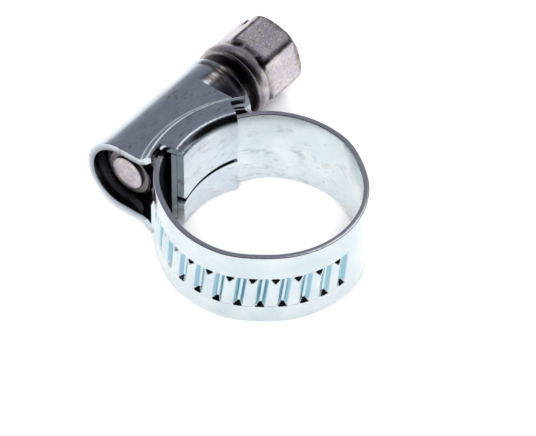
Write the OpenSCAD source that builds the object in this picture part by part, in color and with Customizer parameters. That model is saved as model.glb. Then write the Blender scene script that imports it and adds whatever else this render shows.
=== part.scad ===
// Worm drive hose clip with a 9 mm band, open at its largest size.
// The origin is the centre of the hose seat, halfway across the band. Z runs along the hose,
// X along the screw towards its head, and the housing is on the +Y side.
// The band is drawn as four lengths that meet at three hinge lines, where the steel would bend.

/* [Band] */
// Radius of the hose seat in the open clip
seat_r = 9.4; // [7.8:0.1:11.4]
// How far the open band's circle is centred from the seat's centre, towards the housing
ring_rise = 0.6; // [0.4:0.05:0.8]
// Width of the band
band_w = 9; // [7.4:0.1:11]
// Thickness of the band
band_t = 0.6; // [0.5:0.05:0.75]
// Half of the arc opposite the housing where the band lies on the seat, in degrees
seat_arc = 50; // [40:1:60]
// Direction of the band's free end, in degrees from +X towards +Y
free_end_a = 43; // [40:1:46]
// Size of the chamfers on the free end's corners
end_chamfer = 1.4; // [0.5:0.1:2]
// Gap between two lengths of band where they meet
seam_gap = 0.04; // [0.02:0.01:0.1]

/* [Band thread] */
// Distance from one thread groove to the next, along the outside of the band
pitch = 2.25; // [1.9:0.05:2.7]
// Width of a groove, along the band
groove_w = 1.15; // [0.95:0.05:1.35]
// Length of a groove, across the band
groove_len = 4; // [3.4:0.1:4.8]
// How far the grooves lie below the middle of the band
groove_drop = 0.4; // [0:0.1:0.6]
// Depth of a groove
groove_depth = 0.35; // [0.3:0.01:0.42]
// How far along the screw the groove under its middle lies, with the clip fully open
thread_phase = 0.68; // [0:0.01:1]

/* [Screw] */
// Radius over the worm thread
worm_r = 3.45; // [2.9:0.05:4.2]
// Height of the worm thread
thread_h = 0.9; // [0.7:0.05:1.1]
// Length of the threaded part
worm_len = 11.7; // [10:0.1:12.5]
// Radius of the plain neck between the worm and the collar
neck_r = 3.2; // [2.6:0.05:3.3]
// Radius of the collar under the head
collar_r = 4.3; // [4:0.05:5]
// Thickness of the collar
collar_t = 2.5; // [2:0.1:3]
// Width of the hexagon across its flats
hex_af = 7.8; // [7:0.1:8.6]
// Height of the hexagon
hex_h = 5; // [4.2:0.1:6.2]
// Width of the screwdriver slot
slot_w = 1; // [0.8:0.05:1.3]
// Depth of the screwdriver slot
slot_depth = 1.5; // [1.2:0.1:2.4]
// Direction that the slot points in, in degrees about X from +Y towards +Z
head_turn = 44; // [0:1:60]

/* [Housing] */
// Thickness of the housing's sheet
sheet_t = 0.75; // [0.6:0.05:0.9]
// Direction of the saddle's end on the free end's side, in degrees
saddle_a0 = 57; // [55:1:60]
// Direction of the saddle's other end, in degrees
saddle_a1 = 103; // [103:1:107]
// Radius of the rolled edges between the saddle and the side walls
roll_r = 0.95; // [0.75:0.05:1.1]
// Width of the slit where the edges of the sheet meet on the saddle
slit_w = 0.35; // [0.25:0.05:0.45]
// Distance from the seat's centre plane to the open end of the tube
tube_tail_x = 4.9; // [4.4:0.1:5.4]
// Distance from the seat's centre plane to the side walls' end, where the round collar starts
wall_end_x = 8; // [7.7:0.1:8.4]
// Length of the round collar around the screw's neck
ring_len = 3.2; // [2.6:0.1:4]

/* [Clearances] */
// How deep the worm's crest reaches into the grooves
mesh_depth = 0.2; // [0.1:0.02:0.26]
// Gap between the two band layers under the worm
layer_gap = 0.6; // [0.5:0.05:1]
// Gap between the worm's crest and the tube
worm_clear = 0.1; // [0.05:0.01:0.15]
// Gap between the screw's neck and the round collar
neck_clear = 0.05; // [0.03:0.01:0.1]
// Gap between the band and the housing beside and above it
band_clear = 0.12; // [0.1:0.01:0.2]
// Gap between the end of the worm and the round collar
worm_end_gap = 0.2; // [0.1:0.05:0.4]
// Gap between the round collar and the collar of the screw
collar_gap = 1.6; // [1:0.1:2]

/* [Hidden] */
$fn = 96;
eps = 0.01;
step_a = 2;
ring_r = seat_r + ring_rise;

// Hinge lines of the band, on its inner face
hinge_right_a = 30;
hinge_bottom_a = -86;
hinge_left_a = -212;

// Layers between the seat and the screw
tongue_r = seat_r + sheet_t;
run_r = tongue_r + band_t + layer_gap;
run_out_r = run_r + band_t;
seat_mid_a = -90;
worm_y = run_out_r - mesh_depth + worm_r;

// Where the threaded end leaves the circle of the worm's mesh on each side
ramp_left_a = 101;
ramp_right_a = 56;
ramp_right_drop = 0.4 * layer_gap;

// How far the ring takes to leave the seat, and how much a bored strip is drawn below its bore
ease_a = 30;
bore_stock = 0.03;

// How far before the saddle the fixed end is down on its radius
tongue_early_a = 2;

// Plain band left past the first and the last groove
groove_margin_a = 6;

// Housing sections
half_in = band_w / 2 + band_clear;
half_out = half_in + sheet_t;
tube_in_r = worm_r + worm_clear;
tube_r = tube_in_r + sheet_t;
channel_top_r = run_out_r + band_clear;
shoulder_slope = 0.6;
shoulder_t = sheet_t * sqrt(1 + shoulder_slope * shoulder_slope);

// Screw stations along X
worm_x1 = wall_end_x - worm_end_gap;
worm_x0 = worm_x1 - worm_len;
ring_x1 = wall_end_x + ring_len;
collar_x0 = ring_x1 + collar_gap;
hex_x0 = collar_x0 + collar_t;
hex_x1 = hex_x0 + hex_h;
root_r = worm_r - thread_h;

// Worm thread: half of its crest and the width of a flank, as shares of the pitch, and the
// lengths over which it rises from the core at the tip and at the neck
crest_half = 0.15;
flank = 0.15;
tip_run = 0.6;
neck_run = 0.4;
groove_lean = atan(pitch / (2 * PI * (worm_r - thread_h / 2)));

function ease(u) = let (v = min(max(u, 0), 1)) v * v * (3 - 2 * v);

// Inner radius of the open band's circle, seen from the seat's centre
function circle_r(a) = ring_rise * sin(a) + sqrt(pow(ring_r, 2) - pow(ring_rise * cos(a), 2));

// Inner radius of the ring. Opposite the housing it dips below the seat, which is then bored.
ring_in = function (a)
    let (d = abs(a - seat_mid_a), u = ease((d - seat_arc) / ease_a))
    (seat_r - bore_stock) * (1 - u) + circle_r(a) * u;

// Inner radius of the fixed end, from the ring to the tongue, which is bored to fit the saddle
fixed_in = function (a)
    let (u = ease((a - hinge_right_a) / (saddle_a0 - tongue_early_a - hinge_right_a)))
    circle_r(a) * (1 - u) + (tongue_r - bore_stock) * u;

// Inner radius of the threaded end, which runs under the worm and over the fixed end
tail_in = function (a)
    let (
        u = ease((a - ramp_left_a) / (hinge_left_a + 360 - ramp_left_a)),
        v = ease((ramp_right_a - a) / (ramp_right_a - free_end_a))
    )
    run_r * (1 - u) + circle_r(a) * u - ramp_right_drop * v;

// Outer radius of the threaded stretch on either side of the left hinge line
function thread_out(a) =
    (a <= hinge_left_a + 360 ? tail_in(a) : ring_in(a - 360)) + band_t;

function groove_step(a) = pitch / thread_out(a) * 180 / PI;
function grooves_up(a, last) = a > last ? [] : concat([a], grooves_up(a + groove_step(a), last));
function grooves_down(a, last) = a < last ? [] : concat([a], grooves_down(a - groove_step(a), last));
first_groove_a = 90 - asin(thread_phase / run_out_r);
groove_angles = concat(
    grooves_up(first_groove_a, hinge_bottom_a + 360 - groove_margin_a),
    grooves_down(first_groove_a - groove_step(first_groove_a), free_end_a + groove_margin_a)
);

function polar(r, a) = [r * cos(a), r * sin(a)];
function stations(a0, a1) =
    let (n = ceil((a1 - a0) / step_a)) [for (i = [0:n]) a0 + (a1 - a0) * i / n];

// Length of band between two directions. Its inner radius is a function, bored to a true radius
// wherever the function falls below that.
module strip(inner, a0, a1, bore_r) {
    out = [for (a = stations(a0, a1)) polar(max(inner(a), bore_r) + band_t, a)];
    in = [for (a = stations(a0, a1)) polar(inner(a), a)];
    n = len(in);
    difference() {
        linear_extrude(band_w, center = true)
            polygon(concat(out, [for (i = [n - 1:-1:0]) in[i]]));
        cylinder(r = bore_r, h = 2 * band_w, center = true);
    }
}

// Half of the seam gap, as an angle
gap_a = seam_gap / 2 / seat_r * 180 / PI;

// Thread grooves between two directions
module groove_cuts(a0, a1) {
    for (a = groove_angles)
        if (a > a0 && a < a1)
            rotate([0, 0, a])
                translate([thread_out(a) - groove_depth, 0, 0])
                    rotate([-groove_lean, 0, 0])
                        translate([0, -groove_w / 2, -groove_len / 2 - groove_drop])
                            cube([groove_depth + 1, groove_w, groove_len]);
}

// Wedges that take the corners off the free end
module end_chamfers() {
    for (s = [-1, 1])
        rotate([0, 0, free_end_a])
            translate([seat_r, 0, s * band_w / 2])
                rotate([45, 0, 0])
                    translate([0, -end_chamfer / sqrt(2), -end_chamfer / sqrt(2)])
                        cube([run_out_r, end_chamfer * sqrt(2), end_chamfer * sqrt(2)]);
}

module band_fixed_end() {
    color("#c9d2d8")
        strip(fixed_in, hinge_right_a + gap_a, saddle_a1, tongue_r);
}

module band_right_length() {
    color("#d3dce2")
        strip(ring_in, hinge_bottom_a + gap_a, hinge_right_a - gap_a, seat_r);
}

module band_left_length() {
    color("#dbe4ea")
        difference() {
            strip(ring_in, hinge_left_a + gap_a, hinge_bottom_a - gap_a, seat_r);
            groove_cuts(hinge_left_a + 360, hinge_bottom_a + 360);
        }
}

module band_threaded_end() {
    color("#cdd6dc")
        difference() {
            strip(tail_in, free_end_a, hinge_left_a + 360 - gap_a, seat_r);
            groove_cuts(free_end_a, hinge_left_a + 360);
            end_chamfers();
        }
}

// Section of the housing around the band, drawn as radius against width
module channel_outline() {
    translate([seat_r + roll_r, -half_out])
        square([channel_top_r - seat_r - roll_r, 2 * half_out]);
    translate([seat_r, -half_out + roll_r])
        square([channel_top_r - seat_r, 2 * (half_out - roll_r)]);
    for (s = [-1, 1])
        translate([seat_r + roll_r, s * (half_out - roll_r)])
            circle(roll_r);
    shoulder(half_out, tube_r, shoulder_t);
}

// Roof of the channel, which slopes from the side walls to the neck
module shoulder(from_half, to_half, rise) {
    r0 = channel_top_r + (half_in - from_half) * shoulder_slope + rise;
    r1 = channel_top_r + (half_in - to_half) * shoulder_slope + rise;
    polygon([
        [channel_top_r - eps, -from_half], [r0, -from_half], [r1, -to_half],
        [r1, to_half], [r0, from_half], [channel_top_r - eps, from_half]
    ]);
}

module channel_section() {
    difference() {
        channel_outline();
        translate([tongue_r, -half_in])
            square([channel_top_r - tongue_r, 2 * half_in]);
        shoulder(half_in, tube_in_r, 0);
        translate([channel_top_r - eps, -tube_in_r])
            square([tube_r, 2 * tube_in_r]);
    }
}

// Curved slit across the saddle, where the two edges of the folded sheet meet, and the round
// notch that it starts from
slit_start_z = -2.1;
slit_rise = 1.6;
slit_bow = 0.15;
slit_steps = 12;
notch_r = 0.8;
function slit_z(u) = slit_start_z + slit_rise * u + slit_bow * sin(180 * u);

module saddle_slit() {
    x0 = seat_r * cos(saddle_a1) - sheet_t;
    x1 = tongue_r * cos(saddle_a0) + sheet_t;
    n = slit_steps;
    line = [for (i = [0:n]) [x0 + (x1 - x0) * i / n, slit_z(i / n)]];
    rotate([-90, 0, 0])
        linear_extrude(tongue_r + sheet_t / 2)
            mirror([0, 1])
                union() {
                    polygon(concat(
                        [for (p = line) [p[0], p[1] + slit_w / 2]],
                        [for (i = [n:-1:0]) [line[i][0], line[i][1] - slit_w / 2]]
                    ));
                    translate([tongue_r * cos(saddle_a1), slit_z(0) + notch_r / 2])
                        circle(notch_r);
                }
}
// Saddle, side walls and shoulder around the band
module channel() {
    difference() {
        rotate([0, 0, saddle_a0])
            rotate_extrude(angle = saddle_a1 - saddle_a0)
                channel_section();
        intersection() {
            saddle_slit();
            cylinder(r = tongue_r + sheet_t / 4, h = 2 * half_out, center = true);
        }
    }
}

// Straight part over the worm: a half tube with two side walls
module tube_walls() {
    neck_foot_r = channel_top_r + (half_in - tube_r) * shoulder_slope + shoulder_t / 2;
    difference() {
        translate([-tube_tail_x, 0, 0])
            rotate([0, 90, 0])
                linear_extrude(wall_end_x + tube_tail_x)
                    difference() {
                        u_section(tube_r);
                        u_section(tube_in_r);
                    }
        cylinder(r = neck_foot_r, h = 4 * half_out, center = true);
    }
}

module u_section(r) {
    translate([0, worm_y])
        circle(r);
    translate([-r, 0])
        square([2 * r, worm_y]);
}

// Closed round collar, a running fit on the screw's neck
module round_collar() {
    translate([wall_end_x, worm_y, 0])
        rotate([0, 90, 0])
            difference() {
                cylinder(r = tube_r, h = ring_len);
                translate([0, 0, -1])
                    cylinder(r = neck_r + neck_clear, h = ring_len + 2);
            }
}

module housing() {
    color("#7f8894") {
        channel();
        tube_walls();
        round_collar();
    }
}

// Fineness of the worm thread's surface
thread_sides = 36;
rings_per_turn = 8;

// Radius of the worm at a station and a turn angle, with a flat crest and sloping flanks
function worm_surface(x, turn) =
    let (
        t = (x - thread_phase) / pitch - (turn - 180) / 360,
        d = abs(t - round(t)),
        end = min((x - worm_x0) / tip_run, (worm_x1 - x) / neck_run),
        rise = (crest_half + flank - d) / flank
    )
    root_r + thread_h * min(max(rise, 0), 1) * min(max(end, 0), 1);

module worm_thread() {
    around = thread_sides;
    along = ceil(worm_len / pitch * rings_per_turn);
    xs = [for (i = [0:along]) worm_x0 + worm_len * i / along];
    points = [for (x = xs) for (j = [0:around - 1])
        let (turn = 360 * j / around, r = worm_surface(x, turn))
        [x, r * cos(turn), r * sin(turn)]];
    sides = [for (i = [0:along - 1]) for (j = [0:around - 1]) for (h = [0, 1])
        let (k = (j + 1) % around, a = i * around, b = a + around)
        h == 0 ? [b + k, a + k, a + j] : [b + j, b + k, a + j]];
    caps = [[for (j = [0:around - 1]) j], [for (j = [around - 1:-1:0]) along * around + j]];
    translate([0, worm_y, 0])
        polyhedron(points, concat(sides, caps));
}

// Collar with a domed rim, as a turned shape. The dome's radius and the height of its widest
// point are shares of the collar's thickness.
rim_share = 0.8;
rim_at = 0.45;

module screw_collar() {
    rim = collar_t * rim_share;
    rotate_extrude()
        intersection() {
            square([collar_r, collar_t]);
            translate([collar_r - rim, collar_t * rim_at])
                union() {
                    circle(rim);
                    translate([-collar_r, -collar_t])
                        square([collar_r, 2 * collar_t]);
                }
        }
}

// Chamfer on the hexagon's end, along the screw and across it
hex_chamfer_h = 0.7;
hex_chamfer_w = 0.9;

module hex_head() {
    corner = hex_af / cos(30) / 2;
    shank_h = hex_h - hex_chamfer_h;
    difference() {
        intersection() {
            cylinder(r = corner, h = hex_h, $fn = 6);
            union() {
                cylinder(r = corner + eps, h = shank_h);
                translate([0, 0, shank_h])
                    cylinder(r1 = corner + eps, r2 = corner - hex_chamfer_w, h = hex_chamfer_h);
            }
        }
        translate([-slot_w / 2, -hex_af, hex_h - slot_depth])
            cube([slot_w, 2 * hex_af, slot_depth + 1]);
    }
}

module worm_screw() {
    color("#a79f98") {
        worm_thread();
        translate([worm_x1, worm_y, 0])
            rotate([0, 90, 0])
                cylinder(r = neck_r, h = collar_x0 - worm_x1);
        translate([collar_x0, worm_y, 0])
            rotate([0, 90, 0])
                screw_collar();
        translate([hex_x0, worm_y, 0])
            rotate([head_turn, 0, 0])
                rotate([0, 90, 0])
                    hex_head();
    }
}

housing();
worm_screw();
band_fixed_end();
band_right_length();
band_left_length();
band_threaded_end();
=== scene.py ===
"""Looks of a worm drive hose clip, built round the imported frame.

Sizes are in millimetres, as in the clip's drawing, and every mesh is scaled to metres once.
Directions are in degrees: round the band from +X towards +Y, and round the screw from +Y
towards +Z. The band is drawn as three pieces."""

import math

import bpy
from mathutils import Matrix, Vector


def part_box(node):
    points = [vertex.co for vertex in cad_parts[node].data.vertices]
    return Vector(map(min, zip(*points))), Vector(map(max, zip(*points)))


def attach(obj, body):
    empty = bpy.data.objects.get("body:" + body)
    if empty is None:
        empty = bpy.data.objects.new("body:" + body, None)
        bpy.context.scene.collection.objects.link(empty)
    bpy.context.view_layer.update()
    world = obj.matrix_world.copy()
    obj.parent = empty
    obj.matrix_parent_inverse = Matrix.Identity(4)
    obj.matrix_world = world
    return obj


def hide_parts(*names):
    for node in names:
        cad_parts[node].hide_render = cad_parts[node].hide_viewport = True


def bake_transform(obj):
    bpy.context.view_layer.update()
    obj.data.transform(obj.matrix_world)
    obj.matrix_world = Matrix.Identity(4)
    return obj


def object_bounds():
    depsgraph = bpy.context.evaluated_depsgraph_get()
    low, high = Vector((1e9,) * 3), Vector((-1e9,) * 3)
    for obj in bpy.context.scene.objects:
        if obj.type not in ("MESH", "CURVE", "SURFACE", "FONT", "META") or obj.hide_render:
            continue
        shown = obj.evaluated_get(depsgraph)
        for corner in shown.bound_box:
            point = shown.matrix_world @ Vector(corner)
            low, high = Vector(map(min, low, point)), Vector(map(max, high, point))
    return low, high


MM = 0.001

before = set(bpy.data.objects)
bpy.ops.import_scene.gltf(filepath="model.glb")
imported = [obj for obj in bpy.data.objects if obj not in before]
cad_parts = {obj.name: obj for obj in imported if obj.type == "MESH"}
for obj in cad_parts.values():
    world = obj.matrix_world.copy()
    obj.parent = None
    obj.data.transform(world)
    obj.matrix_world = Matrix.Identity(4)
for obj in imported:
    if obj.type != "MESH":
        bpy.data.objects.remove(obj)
cad_lo, cad_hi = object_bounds()


# ---------------------------------------------------------------- camera

RING_RISE = 0.6
AIM = Vector((0, RING_RISE, 0))
AZIMUTH, ELEVATION, ROLL = -53, 45.5, 0.8
DISTANCE = 301.5
AIM_RIGHT, AIM_UP = 0.42, -0.28
LENS, SENSOR = 201.5, 36


def camera_axes():
    """Right, up and back of the camera, rolled about the line of sight."""
    a, e, roll = (math.radians(v) for v in (AZIMUTH, ELEVATION, ROLL))
    back = Vector((math.sin(a) * math.cos(e), -math.cos(a) * math.cos(e), math.sin(e)))
    right = Vector((math.cos(a), math.sin(a), 0))
    up = back.cross(right)
    return (
        right * math.cos(roll) + up * math.sin(roll),
        up * math.cos(roll) - right * math.sin(roll),
        back,
    )


def make_camera():
    right, up, back = camera_axes()
    data = bpy.data.cameras.new("camera")
    data.lens = LENS
    data.sensor_width = SENSOR
    data.clip_start = 0.02
    data.clip_end = 20
    cam = bpy.data.objects.new("camera", data)
    bpy.context.scene.collection.objects.link(cam)
    place = AIM + back * DISTANCE + right * AIM_RIGHT + up * AIM_UP
    turned = Matrix((right, up, back)).transposed().to_4x4()
    cam.matrix_world = Matrix.Translation(place * MM) @ turned
    bpy.context.scene.camera = cam


make_camera()


# ---------------------------------------------------------------- sizes

def box_mm(node):
    lo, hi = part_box(node)
    return lo / MM, hi / MM


housing_lo, housing_hi = box_mm("housing")
screw_lo, screw_hi = box_mm("worm_screw")
band_lo, band_hi = box_mm("band_left_length")

BAND_T = 0.6
BAND_HALF = band_hi.z
SEAT_R = -band_lo.y - BAND_T
RING_R = SEAT_R + RING_RISE
SEAT_ARC, EASE_A = 50, 30
EDGE_R = 0.08

HINGE_RIGHT, HINGE_BOTTOM, HINGE_LEFT = 30, -86, 148
SEAM_RIGHT, SEAM_LEFT = -28, 211
FREE_END, FIXED_END = 43, 103
END_CHAMFER = 1.4

SHEET_T = 0.75
TONGUE_R = SEAT_R + SHEET_T
TONGUE_A = 55
LAYER_SEAM = 0.05
LAYER_GAP = 0.6
RUN_R = TONGUE_R + BAND_T + LAYER_GAP
RAMP_LEFT, RAMP_RIGHT, RAMP_DROP = 101, 56, 0.24

PITCH = 2.25
THREAD_PHASE = 0.68
THREAD_LO, THREAD_HI = -2.4, 1.6
GROOVE_DEPTH, LAND_H = 0.38, 0.3
GROOVE_FLAT, FLANK_END, CREST = 0.16, 0.55, 1.02
GROOVE_RAMP, LAND_RAMP = 0.5, 0.42
PLAIN_ROWS = (-3.7, -3, 2.2, 2.9, 3.6)
GROOVE_END_GAP_A = 6

WORM_Y = (screw_lo.y + screw_hi.y) / 2
WORM_R, THREAD_H = 3.45, 0.9
WORM_X0, WORM_X1 = screw_lo.x, 7.8
NECK_R = 3.2
COLLAR_X = 12.8
HEX_X, HEX_AF = 15.3, 7.8
HEAD_TURN = 44
SLOT_W, SLOT_DEPTH = 1.0, 1.5

TUBE_R = housing_hi.y - WORM_Y
HALF_OUT = housing_hi.z
TUBE_X0, TUBE_X1 = housing_lo.x, housing_hi.x
WALL_X1 = 8
QUARTER = 18
TURN_STEP = 90 / QUARTER
DENT_X, DENT_DEPTH = 10.5, 0.06
SADDLE_A0, SADDLE_A1 = 57, 103
ROLL_R = 0.95
SLIT_Z, SLIT_RISE, SLIT_BOW = -1.97, 1.47, 0.15
FLARE_OUT_R, FLARE_IN_R = 12.2, 13.7
LEAN = math.atan(PITCH / (2 * math.pi * (WORM_R - THREAD_H / 2)))


def smooth(v):
    v = min(max(v, 0), 1)
    return v * v * (3 - 2 * v)


def mix(a, b, t):
    return a + (b - a) * t


def polar(r, a):
    return r * math.cos(math.radians(a)), r * math.sin(math.radians(a))


# ---------------------------------------------------------------- mesh helpers

def mesh_object(name, points, faces, surf=None, extra=None):
    """Mesh from points in mm. surf keeps each point's place on its sheet, for the materials."""
    mesh = bpy.data.meshes.new(name)
    mesh.from_pydata([Vector(p) * MM for p in points], [], faces)
    mesh.validate()
    for point, place in zip(surf_layer(mesh), surf or points):
        point.vector = place
    for key, values in (extra or {}).items():
        layer = mesh.attributes.new(key, "FLOAT", "POINT")
        layer.data.foreach_set("value", values)
    obj = bpy.data.objects.new(name, mesh)
    bpy.context.scene.collection.objects.link(obj)
    return obj


def surf_layer(mesh):
    """The points' places on the sheet, which a boolean cut drops."""
    found = mesh.attributes.get("surf") or mesh.attributes.new("surf", "FLOAT_VECTOR", "POINT")
    return found.data


def apply_modifiers(obj):
    depsgraph = bpy.context.evaluated_depsgraph_get()
    mesh = bpy.data.meshes.new_from_object(obj.evaluated_get(depsgraph))
    obj.modifiers.clear()
    obj.data = mesh


def shade(obj, angle=32):
    mesh = obj.data
    mesh.polygons.foreach_set("use_smooth", [True] * len(mesh.polygons))
    mesh.set_sharp_from_angle(angle=math.radians(angle))


def mark(obj, key, rule):
    """Stores a number at each point of a finished mesh, from its place in mm."""
    layer = obj.data.attributes.new(key, "FLOAT", "POINT")
    layer.data.foreach_set("value", [rule(v.co / MM) for v in obj.data.vertices])


def bevel(obj, width, angle, segments=3):
    mod = obj.modifiers.new("edges", "BEVEL")
    mod.width = width * MM
    mod.segments = segments
    mod.limit_method = "ANGLE"
    mod.angle_limit = math.radians(angle)
    mod.use_clamp_overlap = True


# ---------------------------------------------------------------- band

def circle_r(a):
    """Inner radius of the open band's circle, seen from the seat's centre."""
    up = RING_RISE * math.sin(math.radians(a))
    side = RING_RISE * math.cos(math.radians(a))
    return up + math.sqrt(RING_R**2 - side**2)


def ring_in(a):
    d = abs((a + 270) % 360 - 180)
    return max(mix(SEAT_R, circle_r(a), smooth((d - SEAT_ARC) / EASE_A)), SEAT_R)


def fixed_in(a):
    u = smooth((a - HINGE_RIGHT) / (TONGUE_A - HINGE_RIGHT))
    return mix(circle_r(a), TONGUE_R + LAYER_SEAM, u)


def tail_in(a):
    u = smooth((a - RAMP_LEFT) / (HINGE_LEFT - RAMP_LEFT))
    v = smooth((RAMP_RIGHT - a) / (RAMP_RIGHT - FREE_END))
    return mix(RUN_R, circle_r(a), u) - RAMP_DROP * v


def inner_end_in(a):
    return fixed_in(a) if a > HINGE_RIGHT else ring_in(a)


def thread_in(a):
    return tail_in(a) if a <= HINGE_LEFT else ring_in(a)


def groove_angles():
    """Directions of the grooves' middles, a pitch apart along the band's outside."""
    first = 90 - math.degrees(math.asin(THREAD_PHASE / (RUN_R + BAND_T)))
    gap = GROOVE_END_GAP_A
    found = []
    for sign, last in ((1, 360 + HINGE_BOTTOM - gap), (-1, FREE_END + gap)):
        a = first
        while (last - a) * sign > 0:
            found.append(a)
            a += sign * math.degrees(PITCH / (thread_in(a) + BAND_T))
    return sorted(set(found))


GROOVES = groove_angles()


def thread_wave(s):
    """Height of the pressed thread at s from the middle of a groove, away from its ends."""
    s = abs(s)
    if s < GROOVE_FLAT:
        return -GROOVE_DEPTH
    if s < FLANK_END:
        return mix(-GROOVE_DEPTH, 0, (s - GROOVE_FLAT) / (FLANK_END - GROOVE_FLAT))
    return mix(0, LAND_H, min((s - FLANK_END) / (CREST - FLANK_END), 1))


def nearest_groove(a, z, outer):
    """Distance along the band to the nearest groove's middle line, which leans with the worm."""
    shift = math.degrees(z * math.tan(LEAN) / outer)
    return min((a - shift - g for g in GROOVES), key=abs) * outer * math.pi / 180


def press(a, z, outer):
    """Height of the thread over the plain band, and how blue its flank is."""
    inside = max(min(z - THREAD_LO, THREAD_HI - z), 0)
    deep, high = (min(inside / ramp, 1) for ramp in (GROOVE_RAMP, LAND_RAMP))
    reach = PITCH / 2 / outer * 180 / math.pi
    if a < GROOVES[0] - reach or a > GROOVES[-1] + reach or inside == 0:
        return 0, 0
    s = nearest_groove(a, z, outer)
    last = abs(s) > GROOVE_FLAT and not GROOVES[0] < a < GROOVES[-1]
    wave = min(thread_wave(s), 0) if last else thread_wave(s)
    height = min(max(wave, -GROOVE_DEPTH * deep), LAND_H * high)
    tint = smooth((FLANK_END - abs(s)) / 0.12) * smooth((abs(s) - 0.05) / 0.12)
    return height, tint * deep


def strip_stations(a0, a1):
    """Directions of a strip's sections, denser across each groove and even elsewhere."""
    offsets = [s * v for s in (-1, 1) for v in (0.06, 0.16, 0.29, 0.42, 0.55, 0.7, 0.86, 1.02)]
    found = []
    for g in GROOVES:
        outer = thread_in(g) + BAND_T
        found += [g + math.degrees(s / outer) for s in offsets]
    found = [a for a in found if a0 + 0.4 < a < a1 - 0.4]
    steps = math.ceil((a1 - a0) / 1.6)
    for i in range(steps + 1):
        a = mix(a0, a1, i / steps)
        if i in (0, steps) or all(abs(a - b) > 0.9 for b in found):
            found.append(a)
    return sorted(found)


def section(grooved):
    """Closed section of the band as (height over its inner face, width, on the outer face)."""
    flat = BAND_HALF - EDGE_R
    if grooved:
        ramps = [GROOVE_RAMP * i / 7 for i in range(8)]
        rows = [THREAD_LO + r for r in ramps] + [THREAD_HI - r for r in ramps]
        plain = (THREAD_LO + GROOVE_RAMP, THREAD_HI - GROOVE_RAMP)
        rows += [mix(*plain, i / 9) for i in range(1, 9)]
        rows += [-flat, flat, *PLAIN_ROWS]
        outer = [(BAND_T, z, True) for z in sorted(rows)]
    else:
        outer = [(BAND_T, mix(-flat, flat, i / 10), True) for i in range(11)]
    inner = [(0, mix(flat, -flat, i / 8), False) for i in range(9)]

    def corner(height, z, start):
        turns = [math.radians(start + 90 * k / 4) for k in range(1, 4)]
        return [(height + EDGE_R * math.cos(t), z + EDGE_R * math.sin(t), False) for t in turns]

    top = corner(BAND_T - EDGE_R, flat, 0) + [(BAND_T - EDGE_R, BAND_HALF, False)]
    top += [(EDGE_R, BAND_HALF, False)] + corner(EDGE_R, flat, 90)
    low = corner(EDGE_R, -flat, 180) + [(EDGE_R, -BAND_HALF, False)]
    low += [(BAND_T - EDGE_R, -BAND_HALF, False)] + corner(BAND_T - EDGE_R, -flat, 270)
    return outer + top + inner + low


def strip(name, inner, a0, a1, grooved, chamfer_end=False):
    """Length of band between two directions, with its pressed thread and round edges."""
    profile = section(grooved)
    stations = strip_stations(a0, a1) if grooved else [
        mix(a0, a1, i / 110) for i in range(111)
    ]
    n = len(profile)
    points, surf, tints, cut_edges, wear = [], [], [], [], []
    near_end = 12
    for a in stations:
        lean = smooth(min(a - a0, a1 - a) / 4) if grooved else 0
        for height, z, outer_face in profile:
            radius = inner(a) + BAND_T
            at = a + lean * math.degrees(z * math.tan(LEAN) / radius)
            if chamfer_end and a < a0 + near_end:
                cut = math.degrees(max(0, abs(z) - (BAND_HALF - END_CHAMFER)) / radius)
                at = mix(a0 + cut, a0 + near_end, (at - a0) / near_end)
            rise, tint = press(at, z, radius) if grooved and outer_face else (0, 0)
            x, y = polar(inner(at) + height + rise, at)
            points.append((x, y, z))
            surf.append((math.radians(at) * RING_R, z, height * 4))
            tints.append(tint)
            cut_edges.append(float(abs(z) > BAND_HALF - 0.05))
            wear.append(float(height < BAND_T / 2))
    faces = [
        (i * n + j, i * n + (j + 1) % n, (i + 1) * n + (j + 1) % n, (i + 1) * n + j)
        for i in range(len(stations) - 1)
        for j in range(n)
    ]
    faces.append(tuple(range(n - 1, -1, -1)))
    faces.append(tuple((len(stations) - 1) * n + j for j in range(n)))
    obj = mesh_object(name, points, faces, surf, {"tint": tints, "cut": cut_edges, "wear": wear})
    obj.data.flip_normals()
    shade(obj, 24)
    return obj


# ---------------------------------------------------------------- housing

def slit_z(u):
    """Middle of the slit across the saddle, u of the way from its left end."""
    return SLIT_Z + SLIT_RISE * u + SLIT_BOW * math.sin(math.pi * u)


def slit_half(u, side):
    """Half the slit's width, which opens to the right, with a round corner at its left end."""
    corner = 0.6 * max(0, 1 - u / 0.12) ** 2 if side > 0 else 0
    return mix(0.13, 0.26, u) + corner


def half_section(x, a):
    """Points of the sheet's outside from the top of the tube to the saddle's slit, on the +Z
    side. Past the saddle, a is None and the sheet stops at the edge of its flare; past the
    side walls it stops at the side of the tube."""
    rows = []
    for i in range(QUARTER + 1):
        dy, dz = polar(TUBE_R, TURN_STEP * i)
        rows.append((x, WORM_Y + dy, dz))
    if x > WALL_X1 + 0.001:
        return rows
    y_in, y_out = (math.sqrt(r * r - x * x) for r in (FLARE_IN_R, FLARE_OUT_R))
    rows += [(x, mix(WORM_Y, y_in, i / 4), TUBE_R) for i in range(1, 5)]
    for i in range(1, 15):
        v = i / 14
        rows.append((x, mix(y_in, y_out, v), mix(TUBE_R, HALF_OUT, smooth(v))))
    if a is None:
        return rows
    roll_at = SEAT_R + ROLL_R
    for i in range(1, 6):
        rows.append((*polar(mix(FLARE_OUT_R, roll_at, i / 5), a), HALF_OUT))
    for i in range(1, 11):
        turn = math.radians(9 * i)
        z = HALF_OUT - ROLL_R + ROLL_R * math.cos(turn)
        rows.append((*polar(roll_at - ROLL_R * math.sin(turn), a), z))
    rows += [(*polar(SEAT_R, a), None)] * 9
    return rows


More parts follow.
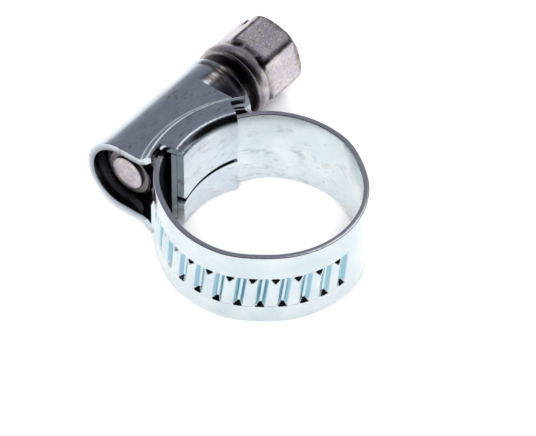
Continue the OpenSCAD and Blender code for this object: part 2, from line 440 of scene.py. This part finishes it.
def fill_saddle(rows, u, side):
    """Gives the saddle's rows their widths, from the roll to the edge at the slit."""
    edge = side * slit_z(u) + slit_half(u, side)
    start = HALF_OUT - ROLL_R
    count = sum(1 for p in rows if p[2] is None)
    flat = [(p[0], p[1], mix(start, edge, (k + 1) / count))
            for k, p in enumerate(p for p in rows if p[2] is None)]
    return [p for p in rows if p[2] is not None] + flat


def dent(x, turn):
    """Crimp pressed into the tube near the screw's collar."""
    along = math.exp(-(((x - DENT_X) / 0.3) ** 2))
    return along * smooth((turn - 50) / 25) * smooth((150 - turn) / 30)


def make_housing():
    columns = [(mix(TUBE_X0, FLARE_OUT_R * math.cos(math.radians(SADDLE_A1)), i / 6), None)
               for i in range(6)]
    for i in range(61):
        a = mix(SADDLE_A1, SADDLE_A0, i / 60)
        columns.append((FLARE_OUT_R * math.cos(math.radians(a)), a))
    last = columns[-1][0]
    columns += [(mix(last, WALL_X1, i / 5), None) for i in range(1, 6)]
    columns += [(mix(WALL_X1, TUBE_X1, i / 18), None) for i in range(1, 19)]

    points, surf, ids = [], [], {}

    def add(key, p, along):
        ids[key] = len(points)
        points.append(p)
        surf.append(along)

    for i, (x, a) in enumerate(columns):
        u = 0 if a is None else (SADDLE_A1 - a) / (SADDLE_A1 - SADDLE_A0)
        for side in (1, -1):
            rows = fill_saddle(half_section(x, a), u, side)
            path = 0
            for j, p in enumerate(rows):
                if j:
                    path += (Vector(p) - Vector(rows[j - 1])).length
                elif side < 0:
                    continue
                if j <= QUARTER:
                    turn = TURN_STEP * j
                    r = TUBE_R - (DENT_DEPTH * dent(p[0], turn) if side > 0 else 0)
                    dy, dz = polar(r, turn)
                    p = (p[0], WORM_Y + dy, dz)
                add((i, side * j), (p[0], p[1], side * p[2]), (p[0], side * path, 0))
    first_round = next(i for i, c in enumerate(columns) if c[0] >= WALL_X1 - 0.001)
    for i in range(first_round, len(columns)):
        x = columns[i][0]
        for k in range(1, 2 * QUARTER):
            turn = 90 + TURN_STEP * k
            dy, dz = polar(TUBE_R - DENT_DEPTH * dent(x, turn), turn)
            add((i, "low", k), (x, WORM_Y + dy, dz), (x, math.radians(turn) * TUBE_R, 0))
        ids[(i, "low", 0)] = ids[(i, QUARTER)]
        ids[(i, "low", 2 * QUARTER)] = ids[(i, -QUARTER)]

    faces = []

    def quad(k1, k2, k3, k4):
        if all(k in ids for k in (k1, k2, k3, k4)):
            faces.append(tuple(ids[k] for k in (k1, k2, k3, k4)))

    reach = max(k[1] for k in ids if len(k) == 2)
    for i in range(len(columns) - 1):
        for j in range(-reach, reach):
            quad((i, j), (i, j + 1), (i + 1, j + 1), (i + 1, j))
        for k in range(2 * QUARTER):
            quad((i, "low", k), (i, "low", k + 1), (i + 1, "low", k + 1), (i + 1, "low", k))

    obj = mesh_object("housing_shell", points, faces, surf)
    sheet = obj.modifiers.new("sheet", "SOLIDIFY")
    sheet.thickness = SHEET_T * MM
    sheet.offset = -1
    sheet.use_even_offset = True
    sheet.use_quality_normals = True
    bevel(obj, 0.14, 55)
    apply_modifiers(obj)
    shade(obj, 35)
    # painted shade: marks the inside of the tube for darkening
    mark(obj, "painted_shade", lambda p: tube_painted_shade(*p))
    mark(obj, "stain", housing_stain)
    return obj


def tube_painted_shade(x, y, z):
    """1 on the inside of the tube and its walls, which are painted dark as shade inside the
    tube.
    """
    if y < FLARE_OUT_R - 1.2:
        return 0
    reach = math.hypot(max(y - WORM_Y, 0), z)
    return float(reach < TUBE_R - 0.6 * SHEET_T)


def housing_stain(p):
    """How brown the sheet is, in the crimp and round the tube's closed end."""
    x, y, z = p
    turn = math.degrees(math.atan2(z, y - WORM_Y))
    near = smooth((x - WALL_X1) / 0.5) * smooth((turn - 84) / 10) * smooth((150 - turn) / 30)
    return max(smooth(1.5 * dent(x, turn)), 0.95 * near)


# ---------------------------------------------------------------- screw

def worm_surface(x, turn):
    """Radius of the worm, with a flat crest and sloping flanks."""
    t = (x - THREAD_PHASE) / PITCH - (turn - 180) / 360
    d = abs(t - round(t))
    end = min((x - WORM_X0 - 0.35) / 0.8, (WORM_X1 - x) / 0.4)
    rise = min(max((0.3 - d) / 0.15, 0), 1) * smooth(end)
    return WORM_R - THREAD_H * (1 - rise)


def hex_radius(turn):
    """Radius of the hexagon, whose corners are turned off slightly."""
    local = (turn - HEAD_TURN + 30) % 60 - 30
    flat = HEX_AF / 2 / math.cos(math.radians(local))
    corner = HEX_AF / 2 / math.cos(math.radians(30)) - 0.1
    blend = 0.12
    h = min(max(0.5 + 0.5 * (corner - flat) / blend, 0), 1)
    return mix(corner, flat, h) - blend * h * (1 - h)


def head_profile():
    """Collar and its lip, as (distance along the screw, radius)."""
    lip = [(0, 3.7), (0.02, 4.0), (0.1, 4.17), (0.25, 4.23), (0.36, 4.2), (0.44, 4.14)]
    dome = [(0.54, 4.2), (0.75, 4.28), (1.05, 4.3), (1.4, 4.26), (1.7, 4.17)]
    dome += [(2.0, 4.02), (2.2, 3.88)]
    return [(COLLAR_X + x, r) for x, r in lip + dome]


def make_screw():
    around = 144
    turns = [360 * j / around for j in range(around)]
    hex_end = screw_hi.x
    rows = [[(WORM_X0, 0.6 * k)] * around for k in (0.02, 1, 2)]
    tip = [(WORM_X0, 1.8), (WORM_X0 + 0.05, 1.9), (WORM_X0 + 0.35, 1.95), (WORM_X0 + 0.36, 2.55)]
    rows += [[p] * around for p in tip]
    count = 260
    for i in range(1, count + 1):
        x = mix(WORM_X0 + 0.35, WORM_X1, i / count)
        rows.append([(x, worm_surface(x, t)) for t in turns])
    rows += [[(WORM_X1 + 0.05, NECK_R)] * around, [(COLLAR_X - 0.03, NECK_R)] * around]
    rows += [[p] * around for p in head_profile()]
    rounding, top_in = 0.85, 0.95
    foot = HEX_X - 0.15
    for i in range(11):
        rows.append([(mix(foot, hex_end - rounding, i / 10),
                      hex_radius(t) - 0.12 * (i == 0)) for t in turns])
    corner = HEX_AF / 2 / math.cos(math.radians(30))
    for i in range(1, 9):
        b = math.radians(90 * i / 8)
        reach = hex_end - rounding + rounding * math.sin(b)
        limit = corner - 0.05 - top_in * (1 - math.cos(b))
        rows.append([(reach, min(hex_radius(t), limit)) for t in turns])
    flat = corner - 0.05 - top_in
    rows += [[(hex_end, flat * k)] * around for k in (0.8, 0.5, 0.25, 0.02)]

    points, surf = [], []
    for row in rows:
        for t, (x, r) in zip(turns, row):
            dy, dz = polar(r, t)
            points.append((x, WORM_Y + dy, dz))
            surf.append((x, dy, dz))
    faces = [
        (i * around + j, i * around + (j + 1) % around,
         (i + 1) * around + (j + 1) % around, (i + 1) * around + j)
        for i in range(len(rows) - 1)
        for j in range(around)
    ]
    faces.append(tuple(range(around - 1, -1, -1)))
    faces.append(tuple((len(rows) - 1) * around + j for j in range(around)))
    obj = mesh_object("screw_with_worm", points, faces, surf)
    cut_slot(obj, hex_end)
    shade(obj, 28)
    for point, vertex in zip(surf_layer(obj.data), obj.data.vertices):
        point.vector = vertex.co / MM
    # painted shade on the worm and the neck
    mark(obj, "painted_shade", screw_shade)
    mark(obj, "stain", screw_stain)
    return obj


def screw_shade(p):
    """1 on the worm and on the neck, painted dark as shade inside the tube and in the gap under
    the collar; 0 on the tip's face and on the head.
    """
    x, y, z = p
    reach = math.hypot(y - WORM_Y, z)
    return float(WORM_X0 + 0.04 < x < COLLAR_X + 0.01 and reach > 1.85)


def screw_stain(p):
    """How brown the screw is: its tip and collar, and the hexagon's corners and end."""
    x, y, z = p
    if x < HEX_X - 0.2:
        return 0.5 if x > COLLAR_X else 0.35 * float(x < WORM_X0 + 0.04)
    turn = math.degrees(math.atan2(z, y - WORM_Y))
    corner = abs((turn - HEAD_TURN + 30) % 60 - 30)
    end = smooth((x - (screw_hi.x - 0.9)) / 0.5)
    return max(smooth((corner - 25.5) / 3), end, 0.7 * smooth((HEX_X + 0.4 - x) / 0.5))


def cut_slot(obj, hex_end):
    """Screwdriver slot across the end of the head."""
    length, past = 12, 1
    corners = [
        (x, y, z)
        for x in (hex_end - SLOT_DEPTH, hex_end + past)
        for y in (-SLOT_W / 2, SLOT_W / 2)
        for z in (-length / 2, length / 2)
    ]
    sides = [(0, 1, 3, 2), (4, 6, 7, 5), (0, 4, 5, 1), (2, 3, 7, 6), (0, 2, 6, 4), (1, 5, 7, 3)]
    turn = Matrix.Rotation(math.radians(HEAD_TURN - 90), 3, "X")
    points = [turn @ Vector(c) + Vector((0, WORM_Y, 0)) for c in corners]
    cutter = mesh_object("slot_cutter", points, sides)
    cut = obj.modifiers.new("slot", "BOOLEAN")
    cut.operation = "DIFFERENCE"
    cut.solver = "EXACT"
    cut.object = cutter
    apply_modifiers(obj)
    bpy.data.objects.remove(cutter)


# ---------------------------------------------------------------- materials

class Shader:
    """A node material's tree, with short calls for the nodes that the steels share."""

    def __init__(self, name):
        self.material = bpy.data.materials.new(name)
        self.material.use_nodes = True
        self.tree = self.material.node_tree
        self.bsdf = self.tree.nodes["Principled BSDF"]
        self.place = self.node("ShaderNodeAttribute", attribute_name="surf").outputs["Vector"]

    def node(self, kind, inputs=None, **settings):
        made = self.tree.nodes.new(kind)
        for key, value in settings.items():
            setattr(made, key, value)
        for key, value in (inputs or {}).items():
            self.feed(made.inputs[key], value)
        return made

    def feed(self, socket, value):
        if isinstance(value, bpy.types.NodeSocket):
            self.tree.links.new(value, socket)
        else:
            socket.default_value = value

    def value(self, name):
        """A number stored at the mesh's points, such as how stained the metal is."""
        return self.node("ShaderNodeAttribute", attribute_name=name).outputs["Fac"]

    def noise(self, scale, stretch=(1, 1, 1), detail=4, rough=0.55):
        place = self.node("ShaderNodeMapping", {"Vector": self.place, "Scale": stretch})
        inputs = {"Vector": place.outputs["Vector"], "Scale": scale}
        inputs.update({"Detail": detail, "Roughness": rough})
        return self.node("ShaderNodeTexNoise", inputs).outputs["Fac"]

    def range(self, value, low, high, to_low=0.0, to_high=1.0):
        inputs = {"Value": value, "From Min": low, "From Max": high}
        inputs.update({"To Min": to_low, "To Max": to_high})
        return self.node("ShaderNodeMapRange", inputs).outputs["Result"]

    def mix(self, amount, first, second):
        made = self.node("ShaderNodeMix", data_type="RGBA")
        for index, value in ((0, amount), (6, first), (7, second)):
            self.feed(made.inputs[index], value)
        return made.outputs[2]

    def math(self, operation, first, second):
        made = self.node("ShaderNodeMath", operation=operation)
        self.feed(made.inputs[0], first)
        self.feed(made.inputs[1], second)
        return made.outputs[0]

    def finish(self, color, rough, height, depth, metallic=1.0):
        inputs = {"Height": height, "Distance": depth * MM, "Strength": 1.0}
        bump = self.node("ShaderNodeBump", inputs)
        self.bsdf.inputs["Metallic"].default_value = metallic
        self.feed(self.bsdf.inputs["Base Color"], color)
        self.feed(self.bsdf.inputs["Roughness"], rough)
        self.feed(self.bsdf.inputs["Normal"], bump.outputs["Normal"])
        return self.material


def rgb(r, g, b):
    return (r, g, b, 1.0)


def band_steel():
    """Bright zinc plate, rubbed inside the ring, with a blue tint in the pressed thread."""
    s = Shader("zinc_band")
    cloud = s.range(s.noise(0.3, detail=5), 0.36, 0.66)
    color = s.mix(cloud, rgb(0.52, 0.595, 0.63), rgb(0.62, 0.665, 0.68))
    worn = s.range(s.value("wear"), 0.0, 1.0, 0.22, 1.0)
    smudge = s.range(s.noise(0.42, (1, 1.5, 1), 9, 0.72), 0.53, 0.68, 0.0, 0.7)
    color = s.mix(s.math("MULTIPLY", smudge, worn), color, rgb(0.27, 0.29, 0.3))
    rubbed = s.range(s.noise(0.16, detail=3), 0.5, 0.62)
    streak = s.range(s.noise(0.9, (0.35, 3.0, 1), 8, 0.74), 0.55, 0.66, 0.0, 0.85)
    streak = s.math("MULTIPLY", s.math("MULTIPLY", streak, rubbed), worn)
    color = s.mix(streak, color, rgb(0.25, 0.26, 0.27))
    color = s.mix(s.math("MULTIPLY", s.value("tint"), 0.8), color, rgb(0.15, 0.36, 0.46))
    color = s.mix(s.value("cut"), color, rgb(0.6, 0.61, 0.64))
    fine = s.noise(5.0, (0.2, 4.0, 1), 4)
    rough = s.range(fine, 0.3, 0.7, 0.08, 0.22)
    return s.finish(color, rough, fine, 0.004)


def housing_steel():
    """Plated sheet, drawn along the tube, with rubbed and stained patches, and painted shade
    inside the tube.
    """
    s = Shader("zinc_housing")
    cloud = s.range(s.noise(0.4, (0.7, 1, 1), 5), 0.38, 0.66)
    color = s.mix(cloud, rgb(0.5, 0.56, 0.62), rgb(0.58, 0.63, 0.67))
    rub = s.range(s.noise(0.45, (0.7, 1.2, 1), 9, 0.76), 0.53, 0.66, 0.0, 0.8)
    color = s.mix(rub, color, rgb(0.3, 0.27, 0.28))
    worn = s.range(s.noise(0.3, detail=3), 0.5, 0.6)
    nick = s.range(s.noise(1.3, (0.7, 1.4, 1), 7, 0.72), 0.56, 0.66, 0.0, 0.85)
    color = s.mix(s.math("MULTIPLY", nick, worn), color, rgb(0.12, 0.12, 0.15))
    brown = s.range(s.noise(0.9, (2.2, 0.5, 1), 7, 0.7), 0.42, 0.56, 0.6, 1.0)
    color = s.mix(s.math("MULTIPLY", s.value("stain"), brown), color, rgb(0.15, 0.11, 0.09))
    # painted shade: the inside of the tube is darkened nearly to black
    color = s.mix(s.math("MULTIPLY", s.value("painted_shade"), 0.85), color, rgb(0.1, 0.11, 0.13))
    draw = s.noise(2.6, (0.14, 4.0, 1), 5)
    rough = s.range(draw, 0.3, 0.7, 0.09, 0.24)
    return s.finish(color, rough, draw, 0.006)


def screw_steel():
    """Cold formed steel under a thin plate, speckled and warmer than the sheet, with painted
    shade on the worm and neck.
    """
    s = Shader("formed_screw")
    cloud = s.range(s.noise(0.5, detail=5), 0.4, 0.65)
    color = s.mix(cloud, rgb(0.56, 0.52, 0.49), rgb(0.68, 0.64, 0.61))
    violet = s.range(s.noise(0.7, detail=3), 0.42, 0.58, 0.2, 0.75)
    color = s.mix(violet, color, rgb(0.5, 0.44, 0.56))
    patchy = s.range(s.noise(1.1, detail=6), 0.4, 0.58, 0.25, 0.9)
    color = s.mix(s.math("MULTIPLY", s.value("stain"), patchy), color, rgb(0.16, 0.12, 0.1))
    speck = s.range(s.noise(3.2, detail=7, rough=0.8), 0.5, 0.62, 0.0, 0.75)
    color = s.mix(speck, color, rgb(0.26, 0.22, 0.23))
    # painted shade: the worm and the neck are darkened nearly to black
    color = s.mix(s.math("MULTIPLY", s.value("painted_shade"), 0.85), color, rgb(0.08, 0.07, 0.065))
    grain = s.noise(5.0, detail=5, rough=0.65)
    rough = s.range(grain, 0.3, 0.7, 0.22, 0.44)
    return s.finish(color, rough, grain, 0.014)


def floor_paint():
    s = Shader("floor_white")
    cloud = s.range(s.noise(2.0, detail=2), 0.3, 0.7)
    color = s.mix(cloud, rgb(0.93, 0.93, 0.93), rgb(0.95, 0.95, 0.95))
    return s.finish(color, 0.9, cloud, 0.001, metallic=0.0)


# ---------------------------------------------------------------- build

def dress(obj, material):
    obj.data.materials.clear()
    obj.data.materials.append(material)


zinc_band = band_steel()

inner_length = strip("band_inner_end", inner_end_in, SEAM_RIGHT, FIXED_END, False)
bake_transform(inner_length)
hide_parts("band_fixed_end", "band_right_length")

front_length = strip("band_front", thread_in, SEAM_LEFT, 360 + SEAM_RIGHT, True)
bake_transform(front_length)
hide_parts("band_left_length")

outer_length = strip("band_threaded_end_visual", thread_in, FREE_END, SEAM_LEFT, True, True)
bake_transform(outer_length)
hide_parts("band_threaded_end")

for length in (inner_length, front_length, outer_length):
    dress(length, zinc_band)

shell = make_housing()
dress(shell, housing_steel())
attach(shell, "clip_frame")
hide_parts("housing")

screw = make_screw()
dress(screw, screw_steel())
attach(screw, "screw")
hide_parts("worm_screw")


# ---------------------------------------------------------------- floor and light

def make_floor():
    half = 1500
    z = cad_lo.z / MM - 0.05
    points = [(x, y, z) for x, y in ((-half, -half), (half, -half), (half, half), (-half, half))]
    floor = mesh_object("floor", points, [(0, 1, 2, 3)])
    floor.data.materials.append(floor_paint())


DARK_ELEVATION, DARK_RANGE, DARK_LEFT = 22, (0.0, 0.14), 0.02
LAMP_TOWARDS, LAMP_RANGE, LAMP_POWER = Vector((0.56, 0.2, 0.8)), (0.989, 0.994), 1.6
WORLD_POWER = 1.05
FRONT_POWER, FRONT_SPREAD = 3.8, 24
OVERHEAD_POWER, OVERHEAD_SPREAD = 1.7, 40


def toward(tree, place, direction, limits, to_low, to_high):
    """A number that goes from one value to another as the direction nears the one given."""
    dot = tree.nodes.new("ShaderNodeVectorMath")
    dot.operation = "DOT_PRODUCT"
    dot.inputs[1].default_value = direction
    tree.links.new(place, dot.inputs[0])
    ramp = tree.nodes.new("ShaderNodeMapRange")
    values = {"From Min": limits[0], "From Max": limits[1], "To Min": to_low, "To Max": to_high}
    for key, value in values.items():
        ramp.inputs[key].default_value = value
    tree.links.new(dot.outputs["Value"], ramp.inputs["Value"])
    return ramp.outputs["Result"]


def make_world():
    """Bright horizon, dim ceiling, a dark patch on the viewing side, and a small lamp."""
    world = bpy.data.worlds.new("studio")
    bpy.context.scene.world = world
    world.use_nodes = True
    tree = world.node_tree
    out = tree.nodes["Background"]
    place = tree.nodes.new("ShaderNodeTexCoord")
    split = tree.nodes.new("ShaderNodeSeparateXYZ")
    tree.links.new(place.outputs["Generated"], split.inputs[0])
    ramp = tree.nodes.new("ShaderNodeValToRGB")
    stops = (
        (0.0, (1.0, 1.0, 1.0)),
        (0.03, (1.0, 1.0, 1.0)),
        (0.16, (0.46, 0.47, 0.49)),
        (0.3, (0.32, 0.33, 0.36)),
        (0.55, (0.25, 0.26, 0.3)),
        (0.8, (0.235, 0.25, 0.3)),
        (1.0, (0.28, 0.28, 0.3)),
    )
    while len(ramp.color_ramp.elements) < len(stops):
        ramp.color_ramp.elements.new(0.5)
    for element, (at, color) in zip(ramp.color_ramp.elements, stops):
        element.position = at
        element.color = (*color, 1.0)
    tree.links.new(split.outputs["Z"], ramp.inputs[0])
    a, e = math.radians(AZIMUTH), math.radians(DARK_ELEVATION)
    viewer = (math.sin(a) * math.cos(e), -math.cos(a) * math.cos(e), math.sin(e))
    along = place.outputs["Generated"]
    dark = toward(tree, along, viewer, DARK_RANGE, 1.0, DARK_LEFT)
    lamp_way = LAMP_TOWARDS.normalized()
    glow = toward(tree, along, lamp_way, LAMP_RANGE, 0.0, LAMP_POWER)
    shade_mix = tree.nodes.new("ShaderNodeVectorMath")
    shade_mix.operation = "SCALE"
    tree.links.new(ramp.outputs["Color"], shade_mix.inputs[0])
    tree.links.new(dark, shade_mix.inputs["Scale"])
    lit = tree.nodes.new("ShaderNodeVectorMath")
    lit.operation = "ADD"
    tree.links.new(shade_mix.outputs["Vector"], lit.inputs[0])
    tree.links.new(glow, lit.inputs[1])
    tree.links.new(lit.outputs["Vector"], out.inputs["Color"])
    out.inputs["Strength"].default_value = WORLD_POWER


def make_light(name, energy, spread, back):
    """Soft distant light that lights the floor and leaves the steel's reflections alone."""
    data = bpy.data.lights.new(name, "SUN")
    data.energy = energy
    data.angle = math.radians(spread)
    light = bpy.data.objects.new(name, data)
    bpy.context.scene.collection.objects.link(light)
    light.matrix_world = back.to_track_quat("Z", "Y").to_matrix().to_4x4()
    light.visible_glossy = False


make_floor()
make_world()
make_light("front_light", FRONT_POWER, FRONT_SPREAD, camera_axes()[2])
make_light("overhead", OVERHEAD_POWER, OVERHEAD_SPREAD, Vector((0, 0, 1)))
bpy.context.scene.view_settings.view_transform = "Standard"
